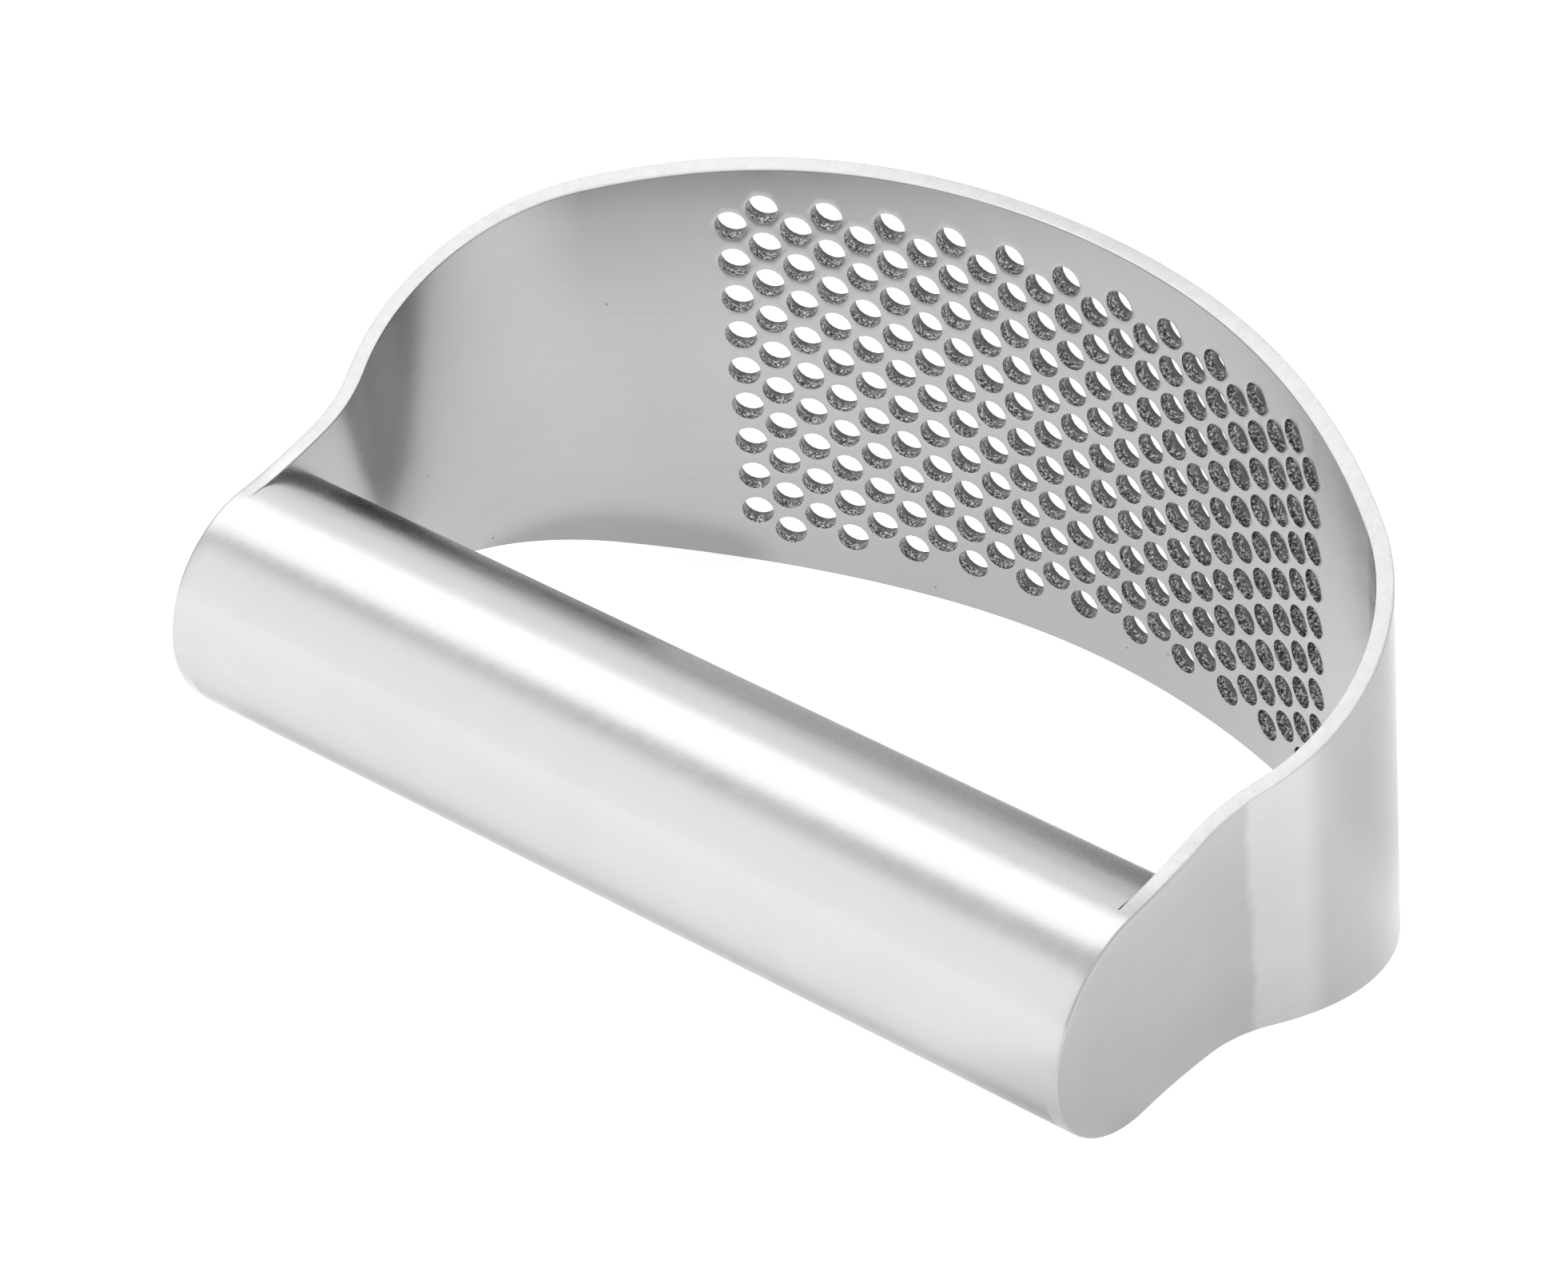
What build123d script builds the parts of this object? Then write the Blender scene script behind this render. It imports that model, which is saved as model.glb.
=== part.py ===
from build123d import *
from math import asin, atan2, cos, degrees, hypot, radians, sin
import os

# Rocker garlic press in stainless steel, millimetres.
# One perforated strip is bent round into a loop, and a hollow round handle is welded between its two ears.
#
# The press is drawn in its own plane first: the handle's axis lies on X, Y runs from the handle to the
# curved belly of the strip, and Z is the strip's width. It is then laid down as it rests on a table.

# Handle
handle_diameter = 21.0
handle_wall = 1.2
handle_length = 90.0  # between the inner faces of the two ears
weld_leg = 0.8  # chamfer at each tube end, filled by the weld and ground flush

# Strip, seen along its width. Bend radii are those of the inner face.
sheet_thickness = 1.5
ear_straight = 9.0  # flat part of an ear, past the handle's axis
neck_radius = 17.5
neck_angle = 22.0  # how far each ear's end leans outwards, degrees
neck_flat = 1.0  # short flat between the neck and the shoulder
shoulder_radius = 19.5
belly_radius = 64.5

# Strip, seen from the side
belly_width = 46.4
neck_reach = 19.5  # how far the outline keeps the ear's width before it opens out
crown_reach = 11.5  # how far it keeps the belly's width before it closes in

# Perforation: staggered rows of round holes
hole_diameter = 2.9
web_around = 2.92  # solid sheet between the holes of one row, along the middle of the sheet
web_across = 1.04  # solid sheet between the holes of one column, across the strip
edge_margin = 4.0  # least distance across the strip from a hole's centre to the strip's edge
shoulder_margin = 12.0  # least distance from a hole's centre to the end of the belly's arc

outline_samples = 400  # places on the outline that are tried when the press is laid down

# Values that follow from those above
handle_radius = handle_diameter / 2
handle_end = handle_length / 2
neck_turn = radians(neck_angle)
shoulder_x = handle_end + neck_radius * (1 - cos(neck_turn)) + neck_flat * sin(neck_turn)
shoulder_x -= shoulder_radius * cos(neck_turn)
shoulder_y = ear_straight + neck_radius * sin(neck_turn) + neck_flat * cos(neck_turn)
shoulder_y += shoulder_radius * sin(neck_turn)
belly_half_angle = asin(shoulder_x / (belly_radius - shoulder_radius))
belly_y = shoulder_y - (belly_radius - shoulder_radius) * cos(belly_half_angle)
press_depth = belly_y + belly_radius + sheet_thickness  # handle's axis to the outside of the belly
sheet_middle = belly_radius + sheet_thickness / 2  # radius of the belly in the middle of the sheet


def face_of_sheet(side, depth):
    """Edges of one face of the sheet on one side of the loop, from the ear's end to the belly's middle.

    side is 1 for the right half and -1 for the left, and depth is 0 on the inner face."""
    x = handle_end + depth
    ear = Line((side * x, -handle_diameter), (side * x, ear_straight))
    neck_centre = (side * (handle_end + neck_radius), ear_straight)
    neck = CenterArc(neck_centre, neck_radius - depth, 90 + side * 90, -side * neck_angle)
    shoulder_turn = 90 - degrees(belly_half_angle) + neck_angle
    shoulder_start = 90 - side * (90 + neck_angle)
    shoulder = CenterArc((side * shoulder_x, shoulder_y), shoulder_radius + depth,
                         shoulder_start, side * shoulder_turn)
    flat = Line(neck @ 1, shoulder @ 0)
    belly_start = 90 - side * degrees(belly_half_angle)
    belly = CenterArc((0, belly_y), belly_radius + depth, belly_start, side * degrees(belly_half_angle))
    return [ear, neck, flat, shoulder, belly]


def bent_sheet():
    """The sheet's loop, cut square and wider than the finished strip."""
    edges = []
    for side in (1, -1):
        inner = face_of_sheet(side, 0)
        outer = face_of_sheet(side, sheet_thickness)
        edges += inner + outer
        edges.append(Line(inner[0] @ 0, outer[0] @ 0))
    return extrude(make_face(edges), amount=belly_width, both=True)


def upper_outline():
    """The strip's upper edge seen from the side, from above the handle's axis to the belly."""
    half_width = belly_width / 2
    return Bezier((0, handle_radius), (neck_reach, handle_radius),
                  (press_depth - crown_reach, half_width), (press_depth, half_width))


def width_cutter():
    """Prism along X with the strip's side outline: round ears that open out to the belly's width."""
    upper = upper_outline()
    lower = mirror(upper, about=Plane.XZ)
    ear_end = CenterArc((0, 0), handle_radius, 90, 180)
    belly_end = Line(upper @ 1, lower @ 1)
    outline = make_face([upper, lower, ear_end, belly_end])
    return extrude(Plane.YZ * outline, amount=handle_length, both=True)


def hole_places():
    """Centres of the holes as (turn about the belly's axis in degrees, height), in staggered columns."""
    column_step = (hole_diameter + web_around) / 2
    row_step = (hole_diameter + web_across) / 2
    last_column = int((sheet_middle * belly_half_angle - shoulder_margin) / column_step)
    last_row = int(belly_width / 2 / row_step)
    places = []
    for column in range(-last_column, last_column + 1):
        turn = degrees(column * column_step / sheet_middle)
        for row in range(-last_row, last_row + 1):
            if (row + column) % 2 == 1:
                places.append((turn, row * row_step))
    return places


def press_plate():
    """The strip, bent, cut to its outline, and punched wherever its edge leaves room for a hole."""
    plate = bent_sheet() & width_cutter()
    punches = []
    for turn, height in hole_places():
        around = Pos(0, belly_y, 0) * Rot(0, 0, turn) * Pos(0, sheet_middle, 0)
        nearest_edge = around * Pos(0, 0, abs(height) + edge_margin)
        if plate.is_inside(nearest_edge.position):
            punches.append(around * Pos(0, 0, height) * Rot(90, 0, 0) *
                           Cylinder(hole_diameter / 2, 4 * sheet_thickness))
    print("holes", len(punches))
    return plate - punches


def handle_tube():
    """Round tube between the ears, with its two outer ends chamfered for the weld."""
    turn = Rot(0, 90, 0)
    tube = Cylinder(handle_radius, handle_length)
    tube = chamfer(tube.edges().filter_by(GeomType.CIRCLE), weld_leg)
    tube -= Cylinder(handle_radius - handle_wall, handle_length)
    return turn * tube


def weld_seam(side):
    """Ring of weld metal that fills the chamfer at one end of the tube, flush with tube and ear."""
    end = side * handle_end
    section = make_face(Polyline((end, handle_radius), (end - side * weld_leg, handle_radius),
                                 (end, handle_radius - weld_leg), close=True))
    return revolve(section, Axis.X)


def lie_angle():
    """Angle by which the press leans when its handle and its belly's lower edge both touch the table.

    For each place on the outline this is the angle of a line that also touches the handle."""
    outline = upper_outline()
    angles = []
    for step in range(1, outline_samples + 1):
        place = outline @ (step / outline_samples)
        angles.append(atan2(place.Y, place.X) - asin(handle_radius / hypot(place.X, place.Y)))
    return degrees(max(angles))


def main():
    parts = {
        "press_plate": press_plate(),
        "handle_tube": handle_tube(),
        "weld_left": weld_seam(-1),
        "weld_right": weld_seam(1),
    }
    lean = Rot(lie_angle(), 0, 0)
    box = (lean * parts["press_plate"]).bounding_box()
    ground = Pos(0, -box.center().Y, handle_radius) * lean
    print("lie angle", round(lie_angle(), 3), "handle axis at y", round(-box.center().Y, 3))
    os.makedirs("parts", exist_ok=True)
    for name, shape in parts.items():
        export_step(ground * shape, f"parts/{name}.step")


main()
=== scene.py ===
# %% [markdown]
# # A rocker garlic press in brushed steel
# The real thing is two parts. A strip of stainless sheet is punched with small holes, bent into a
# loop and cut to a round ear at each end. A tube is the handle, welded between the ears, and the
# welds are ground flush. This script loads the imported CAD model, which fixes where each piece is
# and how big it is. The CAD model could be rendered as it is, but its edges are knife sharp, and
# its mesh is all triangles, which bevel badly. So the strip, the tube and the two welds are
# modelled again here.

# %% Load the frame
import bmesh
import bpy
from math import atan2, cos, degrees, hypot, pi, radians, sin
from mathutils import Matrix, Vector


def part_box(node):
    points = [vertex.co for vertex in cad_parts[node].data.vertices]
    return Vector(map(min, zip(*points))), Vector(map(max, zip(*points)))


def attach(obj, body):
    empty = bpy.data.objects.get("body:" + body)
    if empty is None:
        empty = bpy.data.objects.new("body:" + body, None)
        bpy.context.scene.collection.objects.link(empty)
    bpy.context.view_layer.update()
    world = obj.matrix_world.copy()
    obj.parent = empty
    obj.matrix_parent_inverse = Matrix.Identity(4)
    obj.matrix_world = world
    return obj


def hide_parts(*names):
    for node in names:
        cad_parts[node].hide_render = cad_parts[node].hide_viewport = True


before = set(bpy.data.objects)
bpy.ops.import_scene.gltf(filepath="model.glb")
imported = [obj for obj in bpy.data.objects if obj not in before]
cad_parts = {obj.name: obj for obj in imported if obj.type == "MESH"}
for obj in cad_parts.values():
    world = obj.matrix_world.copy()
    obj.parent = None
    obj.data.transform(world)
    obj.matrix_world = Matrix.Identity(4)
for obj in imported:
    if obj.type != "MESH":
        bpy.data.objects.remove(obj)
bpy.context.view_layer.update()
mm = 0.001
near = 0.01 * mm  # places closer than this count as one place

print("CAD nodes:", ", ".join(sorted(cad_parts)))

# %% [markdown]
# ## How the press lies
# The press is easiest to model upright in its own frame: the handle along X, the belly towards +Y
# and the width of the strip along Z. On the table it lies tilted about its handle, because the
# strip is wider than the handle is thick. The tilt could be typed in, but then it would be wrong
# as soon as a size of the CAD model changed. So it is read from the CAD strip: its outer bottom
# corner is the point farthest back, its outer top corner is the highest, and the line between
# them is the strip's width.

# %% Measure the handle and the tilt
tube_low, tube_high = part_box("handle_tube")
axis_point = (tube_low + tube_high) / 2
handle_radius = (tube_high.z - tube_low.z) / 2
handle_end = tube_high.x

strip_points = [point.co.copy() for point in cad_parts["press_plate"].data.vertices]
back_corner = max(strip_points, key=lambda point: point.y)
top_corner = max(strip_points, key=lambda point: point.z)
tilt = atan2(back_corner.y - top_corner.y, top_corner.z - back_corner.z)
lay_down = Matrix.Translation(axis_point) @ Matrix.Rotation(tilt, 4, "X")
stand_up = lay_down.inverted()

upright_points = [stand_up @ point for point in strip_points]
press_depth = max(point.y for point in upright_points)
belly_half_width = max(point.z for point in upright_points)

print(f"handle radius {handle_radius / mm:.2f} mm, tilt {degrees(tilt):.2f} degrees")
print(f"depth {press_depth / mm:.2f} mm, half width {belly_half_width / mm:.2f} mm")

# %% [markdown]
# ## The sizes of the strip
# From an ear to the middle of the belly, the strip is a flat ear, a neck that leans outwards, a
# short flat, a shoulder that turns in by more than a right angle, and the wide arc of the belly.
# A curve could be drawn along it and given a width, but the strip has real bends with real radii,
# so its sizes are those that a bending brake would be set to.

# %% Sizes of the strip
sheet_thickness = 1.5 * mm
ear_straight = 9 * mm
neck_radius = 17.5 * mm
neck_angle = radians(22)
neck_flat = 1 * mm
shoulder_radius = 19.5 * mm
belly_radius = 64.5 * mm
neck_reach = 19.5 * mm
crown_reach = 11.5 * mm

hole_radius = 1.45 * mm
column_step = 2.91 * mm
row_step = 1.97 * mm
hole_columns = 23
hole_rows = 10

print(f"sheet {sheet_thickness / mm} mm thick, holes {2 * hole_radius / mm} mm wide")

# %% The bends, along the middle of the sheet's thickness
half_sheet = sheet_thickness / 2
ear_middle = handle_end + half_sheet
neck_bend = neck_radius - half_sheet
shoulder_bend = shoulder_radius + half_sheet
belly_bend = belly_radius + half_sheet

# Centres of the neck, the shoulder and the belly, on the right side.
neck_centre = Vector((ear_middle + neck_bend, ear_straight, 0))
neck_end = neck_centre + neck_bend * Vector((-cos(neck_angle), sin(neck_angle), 0))
flat_end = neck_end + neck_flat * Vector((sin(neck_angle), cos(neck_angle), 0))
shoulder_centre = flat_end + shoulder_bend * Vector((-cos(neck_angle), sin(neck_angle), 0))
belly_centre = Vector((0, press_depth - sheet_thickness - belly_radius, 0))
belly_half_angle = atan2(shoulder_centre.x, shoulder_centre.y - belly_centre.y)
shoulder_turn = pi / 2 + neck_angle - belly_half_angle

print(f"belly half angle {degrees(belly_half_angle):.2f}, shoulder {degrees(shoulder_turn):.2f}")

# %% [markdown]
# ## Small helpers
# The modelling is done with the same operators as by hand. Each works on what is selected, so a
# piece is opened alone in edit mode, and its edges are picked by a test on their place. Edges
# could also be picked by their numbers, but those change whenever a step before them changes.

# %% Helpers for modelling
def choose(piece):
    """Selects one piece and nothing else."""
    bpy.ops.object.select_all(action="DESELECT")
    piece.select_set(True)
    bpy.context.view_layer.objects.active = piece


def open_alone(piece):
    """Opens one piece in edit mode, with nothing else selected."""
    choose(piece)
    bpy.ops.object.mode_set(mode="EDIT")


def close():
    """Back to object mode."""
    bpy.ops.object.mode_set(mode="OBJECT")


def pick(kind, test):
    """Selects the points, edges or faces of the open piece that pass a test, and counts them."""
    modes = {"verts": "VERT", "edges": "EDGE", "faces": "FACE"}
    bpy.ops.mesh.select_mode(type=modes[kind])
    bpy.ops.mesh.select_all(action="DESELECT")
    mesh = bmesh.from_edit_mesh(bpy.context.object.data)
    chosen = [element for element in getattr(mesh, kind) if test(element)]
    for element in chosen:
        element.select_set(True)
    bmesh.update_edit_mesh(bpy.context.object.data)
    return len(chosen)


def merge_seams(gap):
    """Merges the points of the open piece that are closer than a gap."""
    bpy.ops.mesh.select_all(action="SELECT")
    bpy.ops.mesh.remove_doubles(threshold=gap)


def face_outwards():
    """Turns every face of the open piece outwards."""
    bpy.ops.mesh.select_all(action="SELECT")
    bpy.ops.mesh.normals_make_consistent(inside=False)


def middle(edge):
    """The middle of an edge."""
    return (edge.verts[0].co + edge.verts[1].co) / 2


def apply_modifier(piece, kind, **settings):
    """Adds a modifier to a piece with these settings and applies it."""
    choose(piece)
    modifier = piece.modifiers.new(kind.title(), kind)
    for name, value in settings.items():
        setattr(modifier, name, value)
    bpy.ops.object.modifier_apply(modifier=modifier.name)


def named(name):
    """Names the piece that was just made."""
    piece = bpy.context.object
    piece.name = name
    piece.data.name = name
    return piece


bpy.ops.object.select_all(action="DESELECT")
print("selected now:", len(bpy.context.selected_objects))

# %% [markdown]
# ## The punched sheet
# On the flat sheet the holes stand in columns, every second column half a step lower. They could
# be cut from a plain sheet with a Boolean, but that leaves long thin faces which crease when the
# sheet is bent. Each hole owns a six-sided tile, and the tiles fill the sheet with no gap. So one
# tile is modelled with its hole and then repeated, which keeps the mesh even.

# %% One tile with its hole
tile_tip = (column_step**2 + row_step**2) / (2 * column_step)
tile_shoulder = column_step - tile_tip
hole_sides = 18

print(f"a tile is {2 * tile_tip / mm:.2f} mm wide and {2 * row_step / mm:.2f} mm high")


def make_tile(name):
    """One flat six-sided tile round one hole, with a face for each side of the hole."""
    bpy.ops.mesh.primitive_circle_add(vertices=6, radius=tile_tip)
    tile = named(name)
    open_alone(tile)
    bpy.ops.transform.rotate(value=pi / 2, orient_axis="Z", center_override=(0, 0, 0))
    pick("verts", lambda point: abs(point.co.y) > row_step / 2)
    squeeze = (2 * tile_shoulder / tile_tip, row_step / (tile_tip * sin(pi / 3)), 1)
    bpy.ops.transform.resize(value=squeeze, center_override=(0, 0, 0))
    bpy.ops.mesh.select_all(action="SELECT")
    bpy.ops.mesh.subdivide(number_cuts=hole_sides // 6 - 1)
    bpy.ops.mesh.select_all(action="DESELECT")
    bpy.ops.mesh.primitive_circle_add(vertices=hole_sides, radius=hole_radius)
    bpy.ops.transform.rotate(value=pi / 2, orient_axis="Z", center_override=(0, 0, 0))
    bpy.ops.mesh.select_all(action="SELECT")
    bpy.ops.mesh.bridge_edge_loops()
    close()
    return tile


# %% Repeat the tile over both sets of columns
def repeat_tile(tile, columns, rows):
    """Repeats a tile every second column and every second row, centred on the sheet."""
    start = Vector((-(columns - 1) * column_step, -(rows - 1) * row_step, 0))
    tile.data.transform(Matrix.Translation(start))
    for count, step in ((columns, (2 * column_step, 0, 0)), (rows, (0, 2 * row_step, 0))):
        apply_modifier(
            tile,
            "ARRAY",
            count=count,
            use_relative_offset=False,
            use_constant_offset=True,
            constant_offset_displace=step,
        )
    return tile


strip = repeat_tile(make_tile("Perforated_strip"), hole_columns // 2, hole_rows)
other = repeat_tile(make_tile("Other_columns"), hole_columns // 2 + 1, hole_rows - 1)
choose(strip)
other.select_set(True)
bpy.ops.object.join()
open_alone(strip)
merge_seams(0.02 * mm)
close()
print("tiles:", len(strip.data.polygons) // hole_sides)

# %% [markdown]
# ## The rim round the holes
# The outline of the tiles is a zigzag, and the real sheet has straight sides round its holes. A
# frame could be modelled round the tiles and bridged to them, but its points would have to be
# matched to the zigzag's. The zigzag's own edges are extruded out instead and flattened to a
# straight line, first along both long sides and then at both ends, so the corners fill themselves.

# %% Tests for the edges of the flat sheet
rim_margin = 1.005


def is_hole_rim(edge):
    """True for an edge on a hole's rim: its middle is one hole radius from a hole's centre."""
    place = middle(edge)
    column = round(place.x / column_step)
    rows = [row for row in range(1 - hole_rows, hole_rows) if (row + column) % 2]
    distances = [
        hypot(place.x - (column + step) * column_step, place.y - (row + step % 2) * row_step)
        for step in (-1, 0, 1)
        for row in rows
    ]
    return min(distances) < hole_radius * rim_margin


def is_open(edge):
    """True for an edge on the sheet's outline."""
    return edge.is_boundary and not is_hole_rim(edge)


mesh = bmesh.new()
mesh.from_mesh(strip.data)
print("edges on the zigzag outline:", sum(is_open(edge) for edge in mesh.edges))
mesh.free()

# %% Extrude the zigzag to straight sides
plain_rim = 0.8 * mm
zigzag_depth = 1.6 * mm
corner_gap = 0.1 * mm
plain_side = (hole_columns - 1) / 2 * column_step + tile_tip + plain_rim


def flatten_to(test, direction, line):
    """Extrudes the outline's edges that pass a test, and flattens them to a line."""
    count = pick("edges", lambda edge: is_open(edge) and test(middle(edge)))
    keep = tuple(1 - abs(part) for part in direction)
    bpy.ops.mesh.extrude_region_move(TRANSFORM_OT_translate={"value": Vector(direction) * mm})
    bpy.ops.transform.resize(value=keep, center_override=Vector(direction) * line)
    return count


open_alone(strip)
corner = (hole_columns - 1) / 2 * column_step + tile_shoulder
zigzag = (hole_rows - 2) * row_step
inside = belly_half_width - corner_gap
for side in (1, -1):
    along = flatten_to(
        lambda place: place.y * side > zigzag and abs(place.x) < corner,
        (0, side, 0),
        belly_half_width,
    )
for side in (1, -1):
    ends = flatten_to(
        lambda place: place.x * side > corner - zigzag_depth and abs(place.y) < inside,
        (side, 0, 0),
        plain_side,
    )
close()
print("edges along one side:", along, "and at one end:", ends)

# %% [markdown]
# ## Bending the sheet
# The punched part is one even arc, so Simple Deform bends it about the Z axis. The rest of the
# loop could follow a curve, but each bend's radius is easier to keep when it is bent as on a
# bending brake: the open end is turned about the centre of the bend, one short step at a time.
# After each step the new column of points is squeezed to the height that the outline has there,
# because the strip narrows from the belly to the ears.

# %% The height of the strip's outline
halvings = 40


def outline_height(depth):
    """Half the strip's width at this distance from the handle's axis, on a smooth curve."""
    reach = (0, neck_reach, press_depth - crown_reach, press_depth)
    height = (handle_radius, handle_radius, belly_half_width, belly_half_width)
    low, high = 0.0, 1.0
    for _ in range(halvings):
        share = (low + high) / 2
        rest = 1 - share
        blend = (rest**3, 3 * share * rest**2, 3 * share**2 * rest, share**3)
        if sum(part * place for part, place in zip(blend, reach)) < depth:
            low = share
        else:
            high = share
    return sum(part * place for part, place in zip(blend, height))


print("half width at the neck:", round(outline_height(ear_straight) / mm, 2), "mm")

# %% Bend the punched part
strip.data.transform(Matrix.Rotation(pi / 2, 4, "X"))
arc_angle = plain_side / belly_bend
apply_modifier(
    strip,
    "SIMPLE_DEFORM",
    deform_method="BEND",
    deform_axis="Z",
    angle=-2 * arc_angle,
)
strip.data.transform(Matrix.Translation((0, press_depth - half_sheet, 0)))
for point in strip.data.vertices:
    if abs(point.co.z) > belly_half_width - near:
        point.co.z *= outline_height(point.co.y) / belly_half_width
punched_end = max(point.co.x for point in strip.data.vertices)
print("the punched part ends at x =", round(punched_end / mm, 2), "mm")

# %% Bend the plain parts, step by step
def height_now():
    """The height and the place of the selected column of points."""
    mesh = bmesh.from_edit_mesh(bpy.context.object.data)
    chosen = [point.co for point in mesh.verts if point.select]
    return max(point.z for point in chosen), chosen[0].y


def squeeze_column():
    """Squeezes the selected column to the outline's height at its place."""
    height, depth = height_now()
    ratio = outline_height(depth) / height
    bpy.ops.transform.resize(value=(1, 1, ratio), center_override=(0, 0, 0))


def turn_end(side, centre, angle, steps):
    """Turns the selected open end inwards about a bend's centre. Spin counts clockwise turns."""
    place = (centre.x * side, centre.y, 0)
    for _ in range(steps):
        bpy.ops.mesh.spin(steps=1, angle=angle * side / steps, center=place, axis=(0, 0, 1))
        squeeze_column()


def pull_end(side, direction, steps=1):
    """Pulls the selected open end straight on."""
    step = Vector((direction.x * side, direction.y, 0)) / steps
    for _ in range(steps):
        bpy.ops.mesh.extrude_region_move(TRANSFORM_OT_translate={"value": step})
        squeeze_column()


belly_steps, shoulder_steps, neck_steps, ear_steps = 4, 24, 8, 6
print(f"each step of the shoulder turns {degrees(shoulder_turn) / shoulder_steps:.2f} degrees")

# %% Bend both ends, from the belly to the ears
flat_move = -neck_flat * Vector((sin(neck_angle), cos(neck_angle), 0))
ear_move = Vector((0, -ear_straight, 0))

open_alone(strip)
for side in (1, -1):
    pick("edges", lambda edge: edge.is_boundary and middle(edge).x * side > punched_end - near)
    turn_end(side, belly_centre, belly_half_angle - arc_angle, belly_steps)
    turn_end(side, shoulder_centre, shoulder_turn, shoulder_steps)
    pull_end(side, flat_move)
    turn_end(side, neck_centre, -neck_angle, neck_steps)
    pull_end(side, ear_move, ear_steps)
    height, depth = height_now()
    print(f"side {side}: the ear starts {height / mm:.3f} mm high at depth {depth / mm:.3f} mm")
close()

# %% [markdown]
# ## The round ears
# The end of each ear is a half disc as wide as the handle. A disc could be added and joined on,
# but its points would have to meet the strip's. The upper half of the strip's last column is spun
# half a turn about the handle's axis instead, down to the lower half, and the seam is merged.

# %% Spin the ends of the ears
spin_steps = 48
open_alone(strip)
for side in (1, -1):
    pick(
        "edges",
        lambda edge: edge.is_boundary
        and middle(edge).x * side > 0
        and abs(middle(edge).y) < near
        and middle(edge).z > 0,
    )
    centre = (ear_middle * side, 0, 0)
    bpy.ops.mesh.spin(steps=spin_steps, angle=-pi, center=centre, axis=(1, 0, 0))
merge_seams(0.005 * mm)
face_outwards()
close()
low_y = min(point.co.y for point in strip.data.vertices)
print("the ears reach", round(low_y / mm, 2), "mm, points:", len(strip.data.vertices))

# %% [markdown]
# ## Thickness and soft edges
# The sheet could be extruded by hand, but the bends would grow thinner. Solidify keeps one even
# thickness on both sides of the middle, and gives the new faces round the outline and in the holes
# the next finish. The faces in the holes then get a finish of their own. Where two finishes meet
# there is a sharp edge, so each such edge gets a share of the bevel's width: little on a hole's
# rim, more on the ears, and none where an ear is flush with the handle.

# %% Give the sheet its thickness
CUT, WALL = 1, 2  # the places of the finishes; the sheet's own faces have place 0
for finish_name in ("face", "cut", "wall"):
    strip.data.materials.append(bpy.data.materials.new(finish_name))

apply_modifier(
    strip,
    "SOLIDIFY",
    thickness=sheet_thickness,
    offset=0,
    use_even_offset=True,
    use_quality_normals=True,
    material_offset_rim=CUT,
)
hole_top = hole_rows * row_step
punched_depth = belly_centre.y + belly_radius * cos(arc_angle)


def in_a_hole(place):
    """True for a place within the punched part of the belly."""
    return abs(place.x) < punched_end and abs(place.z) < hole_top and place.y > punched_depth


for face in strip.data.polygons:
    if face.material_index == CUT and in_a_hole(face.center):
        face.material_index = WALL

walls = sum(face.material_index == WALL for face in strip.data.polygons)
print("walls of holes:", walls // hole_sides)

# %% Cut the strip's edge square to its middle, at the outline's height
edge_points = set()
for face in strip.data.polygons:
    if face.material_index == CUT:
        edge_points.update(face.vertices)
for number in edge_points:
    point = strip.data.vertices[number]
    if point.co.y > 0:
        point.co.z = outline_height(point.co.y) * (1 if point.co.z > 0 else -1)
print("points on the cut edge:", len(edge_points))

# %% Round the edges
edge_round = 0.36 * mm
round_steps = 2
hole_share, strip_share = 0.12, 0.5
flush_depth = 0.3 * mm


def edge_share(finishes, place):
    """The share of the bevel that an edge gets, from the finishes on its two sides."""
    if WALL in finishes:
        return hole_share
    if place.y < flush_depth and abs(place.x) < ear_middle:
        return 0
    ear = max(0, 1 - place.y / neck_reach) if abs(place.x) > ear_middle else 0
    return strip_share + (1 - strip_share) * min(1, ear)


open_alone(strip)
mesh = bmesh.from_edit_mesh(strip.data)
weight = mesh.edges.layers.float.new("bevel_weight_edge")
for edge in mesh.edges:
    finishes = {face.material_index for face in edge.link_faces}
    if len(finishes) > 1:
        edge[weight] = edge_share(finishes, middle(edge))
bmesh.update_edit_mesh(strip.data)
close()
apply_modifier(strip, "BEVEL", width=edge_round, segments=round_steps, limit_method="WEIGHT")
print("faces of the strip:", len(strip.data.polygons))

# %% Smooth shading, and lay the piece down
sharp_from = radians(35)


def finish_piece(piece):
    """Shades a piece smooth between its sharp edges, and lays it in the frame's place."""
    choose(piece)
    bpy.ops.object.shade_smooth_by_angle(angle=sharp_from)
    apply_modifier(piece, "WEIGHTED_NORMAL", keep_sharp=True)
    piece.data.transform(lay_down)
    mesh = bmesh.new()
    mesh.from_mesh(piece.data)
    volume = mesh.calc_volume(signed=True)
    open_edges = sum(not edge.is_manifold for edge in mesh.edges)
    triangles = sum(len(face.verts) - 2 for face in mesh.faces)
    mesh.free()
    print(f"{piece.name}: {volume * 1e9:.0f} mm3, {open_edges} open edges, {triangles} triangles")


finish_piece(strip)

# %% [markdown]
# ## The handle
# The handle is a piece of tube, cut square and chamfered for the weld. Its bore could be cut from a
# solid cylinder with a Boolean, but its few rings of points are quicker to place directly. It
# starts as an open cylinder between the chamfers. The rings at its ends are extruded to the
# chamfer's foot and in to the bore, and the two bore rings are bridged, which closes the wall.

# %% Start the tube
tube_wall = 1.2 * mm
weld_leg = 0.8 * mm
tube_sides = 96
tube_middle = 2 * (handle_end - weld_leg)

bpy.ops.object.select_all(action="DESELECT")
bpy.ops.mesh.primitive_cylinder_add(
    vertices=tube_sides, radius=handle_radius, depth=tube_middle, end_fill_type="NOTHING"
)
handle = named("Handle_tube")
handle.data.transform(Matrix.Rotation(pi / 2, 4, "Y"))
print("the tube starts", round(tube_middle / mm, 2), "mm long")

# %% Chamfer its ends and close its wall
def scale_ring(radius_now, radius_wanted, place):
    """Scales the selected ring about the handle's axis."""
    ratio = radius_wanted / radius_now
    bpy.ops.transform.resize(value=(1, ratio, ratio), center_override=(place, 0, 0))


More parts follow.
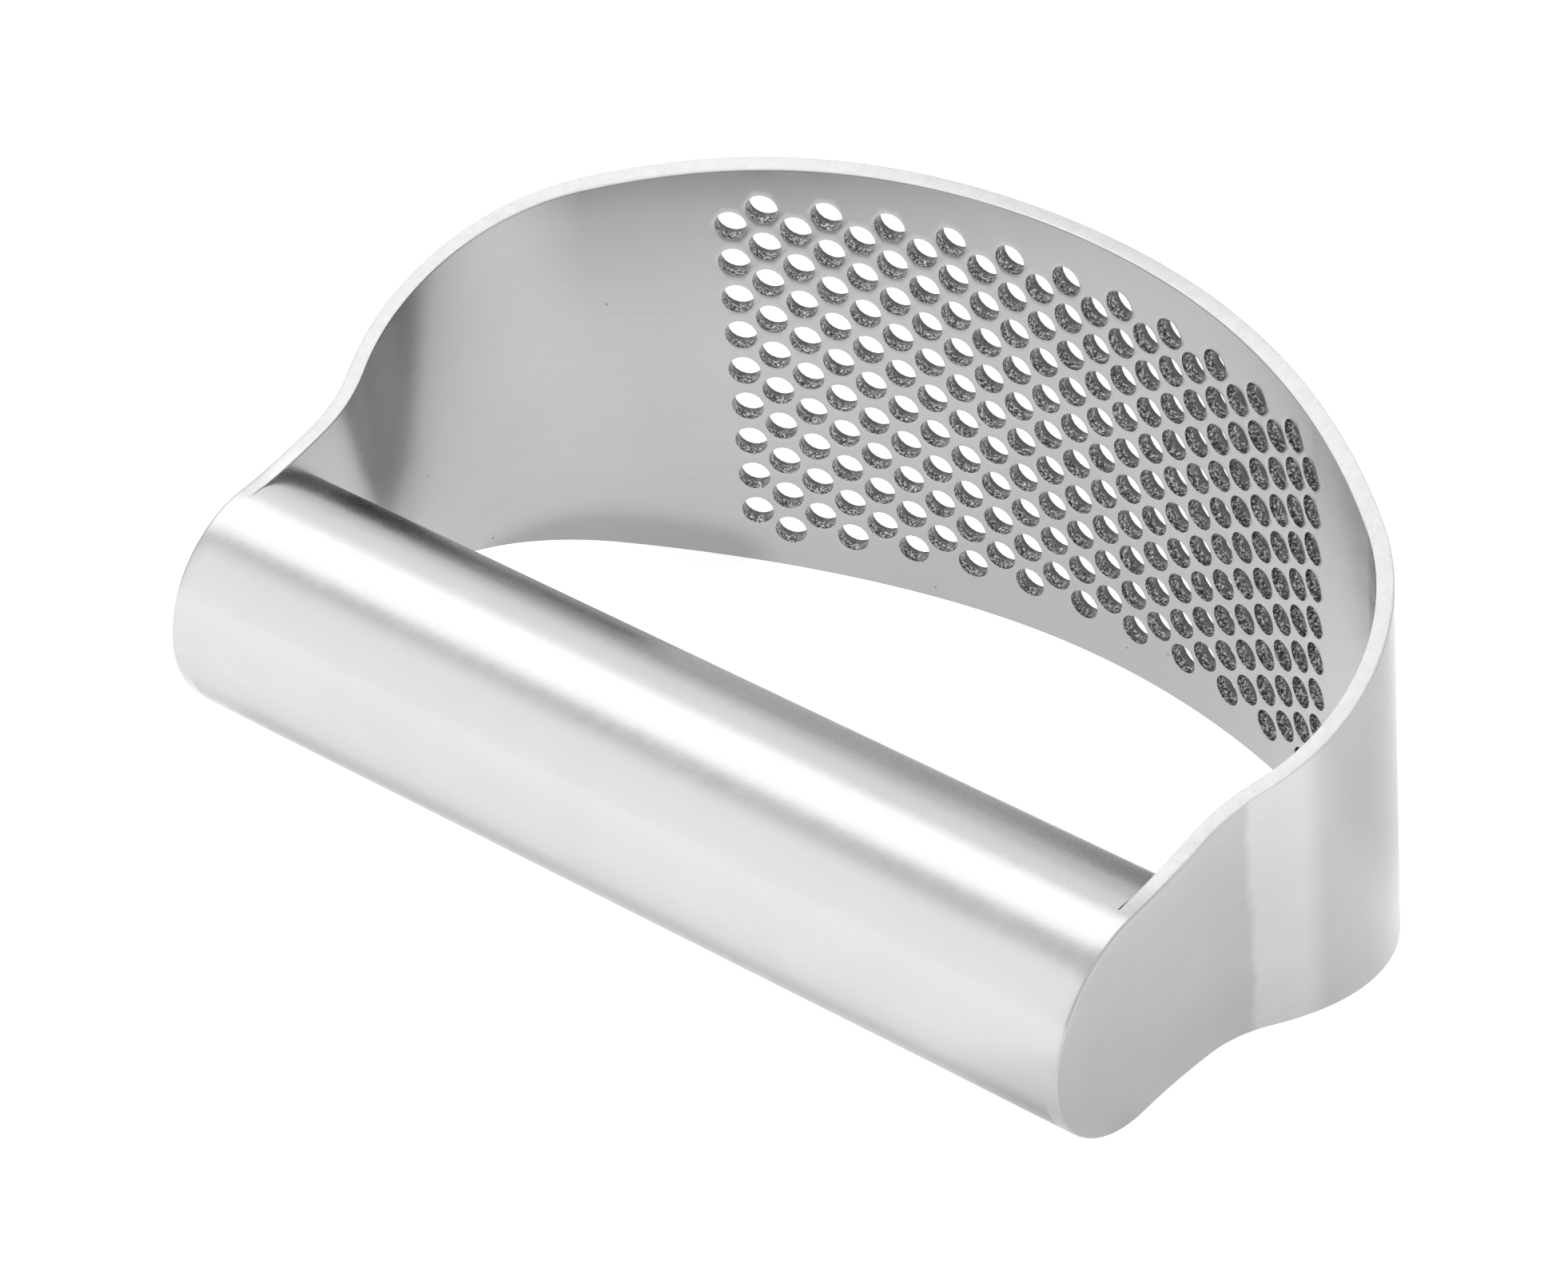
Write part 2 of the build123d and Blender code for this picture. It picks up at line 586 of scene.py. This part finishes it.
open_alone(handle)
chamfer_foot = handle_radius - weld_leg
bore_radius = handle_radius - tube_wall
for side in (1, -1):
    pick("edges", lambda edge: edge.is_boundary and middle(edge).x * side > tube_middle / 2 - near)
    bpy.ops.mesh.extrude_region_move(TRANSFORM_OT_translate={"value": (weld_leg * side, 0, 0)})
    scale_ring(handle_radius, chamfer_foot, handle_end * side)
    bpy.ops.mesh.extrude_region_move()
    scale_ring(chamfer_foot, bore_radius, handle_end * side)
pick("edges", lambda edge: edge.is_boundary)
bpy.ops.mesh.bridge_edge_loops()
face_outwards()
close()
finish_piece(handle)

# %% [markdown]
# ## The welds
# Each weld fills the chamfer between the tube and an ear, and is ground down to the tube's
# surface. A bead of drops would be right for a raw weld, but here the grinding has left none. In
# section the weld is a small triangle, so it starts as an open cone from the chamfer's foot to the
# tube's surface. Its foot ring is extruded up along the ear, and the gap is bridged.

# %% Model the two welds
welds = []
for side, name in ((1, "Weld_right"), (-1, "Weld_left")):
    bpy.ops.object.select_all(action="DESELECT")
    bpy.ops.mesh.primitive_cone_add(
        vertices=tube_sides,
        radius1=handle_radius,
        radius2=chamfer_foot,
        depth=weld_leg,
        end_fill_type="NOTHING",
    )
    weld = named(name)
    weld.data.transform(Matrix.Rotation(side * pi / 2, 4, "Y"))
    weld.data.transform(Matrix.Translation((side * (handle_end - weld_leg / 2), 0, 0)))
    open_alone(weld)
    pick("edges", lambda edge: middle(edge).x * side > handle_end - near)
    bpy.ops.mesh.extrude_region_move()
    scale_ring(chamfer_foot, handle_radius, handle_end * side)
    pick("edges", lambda edge: edge.is_boundary)
    bpy.ops.mesh.bridge_edge_loops()
    face_outwards()
    close()
    finish_piece(weld)
    welds.append(weld)

# %% [markdown]
# ## Writing a finish
# A finish is a small tree of shader nodes. It could be wired by hand, node by node, but sums on
# values read best as plain sums. So one class stands for a socket and adds a Math node for each
# operator, and any other node comes from one method.

# %% A class for shader sums
class Wire:
    """An output of a finish's node. A sum on it adds a Math node."""

    def __init__(self, finish, socket):
        self.finish = finish
        self.socket = socket

    def sum_of(self, operation, first, second):
        return self.finish.node("ShaderNodeMath", {"operation": operation}, {0: first, 1: second})

    def __add__(self, other):
        return self.sum_of("ADD", self, other)

    def __sub__(self, other):
        return self.sum_of("SUBTRACT", self, other)

    def __rsub__(self, other):
        return self.sum_of("SUBTRACT", other, self)

    def __mul__(self, other):
        return self.sum_of("MULTIPLY", self, other)

    __radd__ = __add__
    __rmul__ = __mul__


class Finish:
    """A material and its tree of nodes."""

    def __init__(self, name):
        self.material = bpy.data.materials.new(name)
        self.material.use_nodes = True
        self.tree = self.material.node_tree
        self.tree.nodes.clear()

    def node(self, kind, settings=None, inputs=None, output=0):
        """Adds a node with its settings and the values or links of its sockets."""
        made = self.tree.nodes.new(kind)
        for name, value in (settings or {}).items():
            setattr(made, name, value)
        for name, value in (inputs or {}).items():
            if isinstance(value, Wire):
                self.tree.links.new(value.socket, made.inputs[name])
            else:
                made.inputs[name].default_value = value
        return Wire(self, made.outputs[output]) if made.outputs else None

    def close(self, surface):
        """Links the finished surface to the material's output."""
        self.node("ShaderNodeOutputMaterial", inputs={"Surface": surface})
        print("finish", self.material.name, "has", len(self.tree.nodes), "nodes")
        return self.material


# %% [markdown]
# ## Places on the metal
# Every finish of the steel reads one set of coordinates: millimetres in the press's upright frame.
# A UV map would follow the strip, but it would break at the welds. One Mapping node undoes the
# tilt and the shift instead, so the grain runs on from the tube over the weld.

# %% Shared coordinates
def place_in_mm(finish):
    """Object coordinates, turned upright about the handle's axis and in millimetres."""
    here = finish.node("ShaderNodeTexCoord", output=3)
    return finish.node(
        "ShaderNodeMapping",
        {"vector_type": "TEXTURE"},
        {"Vector": here, "Location": axis_point, "Rotation": (tilt, 0, 0), "Scale": (mm, mm, mm)},
    )


def stretched(finish, place, factors):
    """A place with each coordinate multiplied, which stretches a pattern."""
    return finish.node(
        "ShaderNodeVectorMath", {"operation": "MULTIPLY"}, {0: place, 1: factors}
    )


def part_of(finish, place, axis):
    """One coordinate of a place: 0 is across, 1 is depth and 2 is height."""
    return finish.node("ShaderNodeSeparateXYZ", inputs={"Vector": place}, output=axis)


print(f"the finishes are turned by {degrees(tilt):.2f} degrees, with the piece")

# %% Noise, and the steel itself
steel_grey = (0.350, 0.353, 0.358)


def noise(finish, place, scale=1.0, detail=3.0, roughness=0.5):
    """Soft noise about 0.5, with one patch per unit of place over the scale."""
    return finish.node(
        "ShaderNodeTexNoise",
        inputs={"Vector": place, "Scale": scale, "Detail": detail, "Roughness": roughness},
    )


def tint(finish, shade):
    """The steel's grey, made lighter or darker by a shade about 1."""
    return finish.node(
        "ShaderNodeVectorMath", {"operation": "SCALE"}, {0: steel_grey, "Scale": shade}
    )


def steel(finish, shade, roughness, height, depth):
    """The metal itself: bare steel with its shade, roughness and fine relief."""
    relief = finish.node(
        "ShaderNodeBump", inputs={"Height": height, "Strength": 1.0, "Distance": depth}
    )
    return finish.node(
        "ShaderNodeBsdfPrincipled",
        inputs={
            "Base Color": tint(finish, shade),
            "Metallic": 1.0,
            "Roughness": roughness,
            "Normal": relief,
        },
    )


# %% [markdown]
# ## Borders between finishes
# On real metal one finish seldom stops at a line. A colour ramp could soften the change, but it
# has to be fed a value from 0 to 1. A Map Range node takes the two places themselves and makes a
# smooth step between them.

# %% A smooth step, for the borders between finishes
def ramp(finish, value, low, high, at_low=0.0, at_high=1.0):
    """A smooth step from one value to another."""
    return finish.node(
        "ShaderNodeMapRange",
        {"interpolation_type": "SMOOTHSTEP"},
        {"Value": value, "From Min": low, "From Max": high, "To Min": at_low, "To Max": at_high},
    )


# %% [markdown]
# ## The satin of the tube
# The tube is ground round and then blasted, so its grain is short, soft and the same every way. A
# glossy steel with a bump map of scratches would be too sharp. Three noises of different sizes make
# the shade and the roughness drift a little, and the relief is under a hundredth of a millimetre.
# The underside is painted darker than the rest, a painted shade for the shaded table under it.

# %% Satin tube
def satin_look(finish, place):
    """The shade, roughness and relief of the satin metal."""
    cloud = noise(finish, place, scale=0.12, detail=3)
    patch = noise(finish, place, scale=0.9, detail=2, roughness=0.55)
    speckle = noise(finish, place, scale=4.0, detail=2)
    shade = 0.92 + 0.10 * cloud + 0.05 * patch + 0.01 * speckle
    roughness = 0.19 + 0.06 * cloud + 0.09 * patch
    return shade, roughness, patch


satin_depth = 0.007 * mm
# The painted shade of the underside: below these heights the satin is painted darker.
underside, front = -4.6, -1.4  # heights in mm between which the satin grows bright
painted_underside_shade = 0.62

satin = Finish("Satin_steel")
place = place_in_mm(satin)
shade, roughness, relief = satin_look(satin, place)
height = part_of(satin, place, 2)
# Painted shade: the satin of the tube and the welds is painted darker on the underside.
shade = shade * ramp(satin, height, underside, front, painted_underside_shade, 1.0)
satin_material = satin.close(steel(satin, shade, roughness, relief, depth=satin_depth))

# %% [markdown]
# ## The brushing of the strip
# The strip is brushed along its length while it is still flat. Anisotropic gloss could stand for
# the brush marks, but it needs a tangent that follows every bend. Two noises that are stretched
# along the strip draw the marks themselves, broad streaks and fine hairlines, so faint that they
# show only as a soft sheen. A few tiny pits from rolling are left, most of them on the left half.
#
# After welding, the outside of each ear is ground on a belt, and is a little darker for it. The
# belt stops in a wandering line where the neck leans away. Past that line the brushed neck is
# painted brighter, a painted highlight for the light on its bend.

# %% Grain and pits of the strip
brushed = Finish("Brushed_steel")
place = place_in_mm(brushed)
across, depth = part_of(brushed, place, 0), part_of(brushed, place, 1)
cloud = noise(brushed, place, scale=0.1, detail=4)
streak = noise(brushed, stretched(brushed, place, (0.03, 0.03, 1.0)), scale=1.0, detail=2)
hairline = noise(brushed, stretched(brushed, place, (0.04, 0.04, 3)), scale=1.0, detail=1)
pit_distance = brushed.node(
    "ShaderNodeTexVoronoi", inputs={"Vector": place, "Scale": 0.22, "Randomness": 1.0}
)
pit = ramp(brushed, pit_distance, 0.034, 0.020) * ramp(brushed, across, 20, 5)
shade = (0.885 + 0.14 * cloud + 0.05 * streak + 0.03 * hairline) * (1 - 0.5 * pit)

# %% Ground ears, and a painted highlight on the necks
ear_end, neck_start, neck_top = 13.9, 13.7, 21.4  # depths in mm
between_faces = 46.2  # mm across, between the sheet's two faces where the neck starts
neck_lean = 0.34  # how far that place moves out for each mm of depth
wander = noise(brushed, place, scale=0.35, detail=2)
out = brushed.node("ShaderNodeMath", {"operation": "ABSOLUTE"}, {0: across})
upright_out = out - neck_lean * (depth - neck_start)
outside = ramp(brushed, upright_out, between_faces, between_faces + 0.4)
past_ear = ramp(brushed, depth + 1.4 * wander, ear_end, ear_end + 1.1)
# The neck's mask for its painted highlight, past the belt's wandering line.
neck_highlight = outside * past_ear * ramp(brushed, depth, neck_top, neck_top - 3.2)
on_ear = outside * (1 - past_ear)
# Painted highlight: the neck is painted brighter, and the belt-ground ear is a little darker.
shade = shade * (1 + 0.22 * neck_highlight - 0.03 * on_ear)
roughness = 0.21 + 0.07 * cloud + 0.04 * streak
relief = 0.6 * streak + 0.4 * hairline
brushed_depth = 0.00015 * mm
brushed_material = brushed.close(steel(brushed, shade, roughness, relief, depth=brushed_depth))

# %% [markdown]
# ## The cut edge
# The strip is cut out with a tool that leaves a coarse edge, grey and bright by turns, with faint
# chatter marks. Near the handle the edge is ground flush with the tube, so there it has to look
# like the tube. Two materials could meet at a line, but the real change is gradual. So one finish
# starts as the tube's satin and grows coarse with the depth from the handle.

# %% Cut edge, satin where it is ground flush
sawn = Finish("Cut_edge_steel")
place = place_in_mm(sawn)
smooth_shade, smooth_roughness, smooth_relief = satin_look(sawn, place)
satin_end, coarse_start = 2.0, 9.0  # depths in mm
coarse = ramp(sawn, part_of(sawn, place, 1), satin_end, coarse_start)
grit = noise(sawn, place, scale=5.0, detail=4, roughness=0.7)
chatter = noise(sawn, stretched(sawn, place, (1.2, 1.2, 0.2)), scale=1.0, detail=3)
shade = smooth_shade + coarse * (0.02 + 0.52 * grit - 0.22 * chatter)
roughness = smooth_roughness + coarse * (0.12 + 0.2 * grit)
relief = smooth_relief + coarse * (1.6 * grit + chatter)
cut_depth = 0.012 * mm
cut_material = sawn.close(steel(sawn, shade, roughness, relief, depth=cut_depth))

# %% [markdown]
# ## The walls of the holes
# A punch shears the first part of each hole's wall smooth, and tears the rest, which is left
# rough, with bright flakes and dark cracks. The whole wall is also painted much darker than the
# sheet's face, a painted shade for the shade inside the holes. The torn part could be modelled, but
# that many rough walls would need millions of faces. The holes all point at the belly's axis, so
# the distance from that axis tells how deep in the sheet a place is, and one noise draws the flakes
# and the cracks.

# %% Walls of the holes
punched = Finish("Punched_steel")
place = place_in_mm(punched)
from_centre = punched.node(
    "ShaderNodeVectorMath", {"operation": "SUBTRACT"}, {0: place, 1: belly_centre / mm}
)
in_plan = stretched(punched, from_centre, (1, 1, 0))
radius = punched.node("ShaderNodeVectorMath", {"operation": "LENGTH"}, {0: in_plan}, 1)
sheared, fully_torn = (belly_radius + sheet_thickness) / mm - 0.25, belly_radius / mm + 0.55
torn = ramp(punched, radius, sheared, fully_torn)
tear = noise(punched, place, scale=4.2, detail=4, roughness=0.75)
flake = ramp(punched, tear, 0.50, 0.60) * torn
crack = ramp(punched, tear, 0.44, 0.38) * torn
# Painted shade: the walls are painted far darker than the face. The flakes and cracks are the torn
# steel.
shade = (0.12 + 0.20 * tear + 1.3 * flake) * (1 - 0.8 * crack)
roughness = 0.13 + 0.10 * tear + 0.2 * torn
relief = tear * (0.15 + torn)
torn_depth = 0.05 * mm
wall_material = punched.close(steel(punched, shade, roughness, relief, depth=torn_depth))

# %% [markdown]
# ## Finishes and frame
# Finishes could be given to faces by hand, but the strip's faces already carry the number of
# theirs, so its three finishes are put in those three places. Each piece then takes the place of
# its CAD node, and rides on the one body.

# %% Put the finishes on
for number, material in enumerate((brushed_material, cut_material, wall_material)):
    strip.data.materials[number] = material
for piece in (handle, *welds):
    piece.data.materials.append(satin_material)
print("the strip's finishes:", [material.name for material in strip.data.materials])

# %% Bind the pieces to the frame
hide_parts("press_plate")
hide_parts("handle_tube")
for weld, node in zip(welds, ("weld_right", "weld_left")):
    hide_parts(node)
for piece in (strip, handle, *welds):
    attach(piece, "root")
    print(piece.name, "rides on root")

# %% [markdown]
# ## The table
# The press lies on a white table. A plain white table would go grey under the steel and be dull to
# reflect, so this one glows, as a light table does: its shadows are all but lost, and the steel has
# something bright to reflect from below. It glows more in front, inside the loop and on the right,
# and less close to the steel, where a real table is shaded.

# %% A plane for the table, and its coordinates
bpy.ops.object.select_all(action="DESELECT")
bpy.ops.mesh.primitive_plane_add(size=6)
table = named("Table")
white = Finish("White_table")
here = white.node("ShaderNodeTexCoord", output=3)
across, back = part_of(white, here, 0), part_of(white, here, 1)
print("the table is", round(table.dimensions.x, 2), "m wide")

# %% Where the table glows more
in_front = ramp(white, back, -30 * mm, -42 * mm)
in_the_loop = ramp(white, back, 36 * mm, -5 * mm) * ramp(white, across, 45 * mm, 30 * mm)
on_the_right = ramp(white, across, 60 * mm, 80 * mm)
plain_glow = 1.23
light = plain_glow + 0.44 * in_front + 0.27 * in_the_loop + 0.30 * on_the_right
print("the table glows", plain_glow, "before its brighter and darker places")

# %% Where the steel shades it
axis_back = axis_point.y
band_front, band_back = axis_back - 3 * mm, axis_back + 5 * mm
under_handle = (
    ramp(white, back, band_front, axis_back)
    * ramp(white, back, band_back, axis_back + 1 * mm)
    * ramp(white, across * across, (handle_end + 5 * mm) ** 2, (handle_end - 4 * mm) ** 2)
)
left_corner = (
    ramp(white, back, axis_back, axis_back + 6 * mm)
    * ramp(white, back, 10 * mm, -4 * mm)
    * ramp(white, across, -32 * mm, -40 * mm)
    * ramp(white, across, -56 * mm, -50 * mm)
)
beside_ear = (
    ramp(white, across, 60 * mm, 50 * mm)
    * ramp(white, across, 30 * mm, 40 * mm)
    * ramp(white, back, 22 * mm, 10 * mm)
)
behind_shoulder = ramp(white, back, 18 * mm, 34 * mm) * ramp(white, across, 30 * mm, 42 * mm)
along_wall = back - 0.92 * across
beside_wall = (
    ramp(white, along_wall, 49 * mm, 51.5 * mm) * ramp(white, across, -28 * mm, -32 * mm)
)
near_handle = (
    ramp(white, back, -36 * mm, -30 * mm)
    * ramp(white, back, 0, -15 * mm)
    * ramp(white, across * across, (46 * mm) ** 2, (40 * mm) ** 2)
)
glow = light * (1 - 0.35 * under_handle) * (1 - 0.1 * left_corner) * (1 - 0.3 * beside_wall)
glow = glow * (1 - 0.13 * beside_ear) * (1 - 0.15 * near_handle) * (1 - 0.2 * behind_shoulder)
print(f"shaded under the handle from Y {band_front / mm:.1f} to {band_back / mm:.1f} mm")

# %% White table
cloud = noise(white, here, scale=3.0, detail=2)
glow_white = white.node("ShaderNodeCombineXYZ", inputs={"X": glow, "Y": glow, "Z": glow})
paper = white.node(
    "ShaderNodeBsdfPrincipled",
    inputs={
        "Base Color": (0.12, 0.12, 0.12, 1),
        "Roughness": 0.55 + 0.1 * cloud,
        "Emission Color": glow_white,
        "Emission Strength": 1.0,
    },
)
table.data.materials.append(white.close(paper))

# %% [markdown]
# ## The room and its lamps
# Round steel shows its surroundings more than its own colour. One strong lamp would give it one
# hard white line, so the whole room is evenly white, and three broad lamps stand in it on the left:
# one high beside the press, one low in front, and a smaller one at the back.

# %% Room and lamps
room_light = 1.28
world = bpy.data.worlds.new("Studio")
bpy.context.scene.world = world
world.use_nodes = True
background = world.node_tree.nodes["Background"]
background.inputs["Color"].default_value = (1, 1, 1, 1)
background.inputs["Strength"].default_value = room_light
print("the room's light is", room_light)


def softbox(name, azimuth, elevation, distance, width, height, brightness):
    """A broad lamp that faces the press, its azimuth counted from +Y towards +X."""
    turn, rise = radians(azimuth), radians(elevation)
    direction = Vector((sin(turn) * cos(rise), cos(turn) * cos(rise), sin(rise)))
    lamp = bpy.data.lights.new(name, "AREA")
    lamp.shape = "RECTANGLE"
    lamp.size, lamp.size_y = width, height
    lamp.energy = brightness * pi * width * height
    box = bpy.data.objects.new(name, lamp)
    bpy.context.scene.collection.objects.link(box)
    facing = direction.to_track_quat("Z", "Y").to_matrix().to_4x4()
    box.matrix_world = Matrix.Translation(direction * distance) @ facing
    print(f"{name}: {width} x {height} m at {distance} m, {lamp.energy:.2f} W")


for name, azimuth, elevation, distance, width, height, brightness in (
    ("Softbox_above", -92, 60, 1.2, 0.75, 1.02, 1.82),
    ("Softbox_back", -52, 44, 1.3, 0.5, 0.5, 0.68),
    ("Softbox_front", -148, 20, 1.4, 0.9, 1.13, 0.95),
):
    softbox(name, azimuth, elevation, distance, width, height, brightness)

# %% [markdown]
# ## The camera
# The camera looks down at the press from the front right, through a long lens, so the handle and
# the belly keep nearly the same scale. It could be aimed with a constraint, but it also leans a
# little to one side. So it is turned about its own axis, up, and round, and then moved back.

# %% Camera
camera_azimuth, camera_height, camera_roll = radians(36.40), radians(29.81), radians(4.93)
camera_distance = 549.3 * mm
aim = Vector((-3.3, -7.1, 16.4)) * mm
camera_data = bpy.data.cameras.new("Camera")
camera_data.sensor_width = 36
camera_data.lens = 152.66
camera = bpy.data.objects.new("Camera", camera_data)
bpy.context.scene.collection.objects.link(camera)
facing = (
    Matrix.Rotation(camera_azimuth, 4, "Z")
    @ Matrix.Rotation(pi / 2 - camera_height, 4, "X")
    @ Matrix.Rotation(camera_roll, 4, "Z")
)
camera.matrix_world = (
    Matrix.Translation(aim) @ facing @ Matrix.Translation((0, 0, camera_distance))
)
bpy.context.scene.camera = camera
bpy.context.scene.view_settings.view_transform = "Standard"
print("camera at", [round(value / mm, 1) for value in camera.matrix_world.translation], "mm")

# %% [markdown]
# ## The end
# The view layer is brought up to date, so that every piece stands in its place.

# %% Bring the scene up to date
bpy.context.view_layer.update()
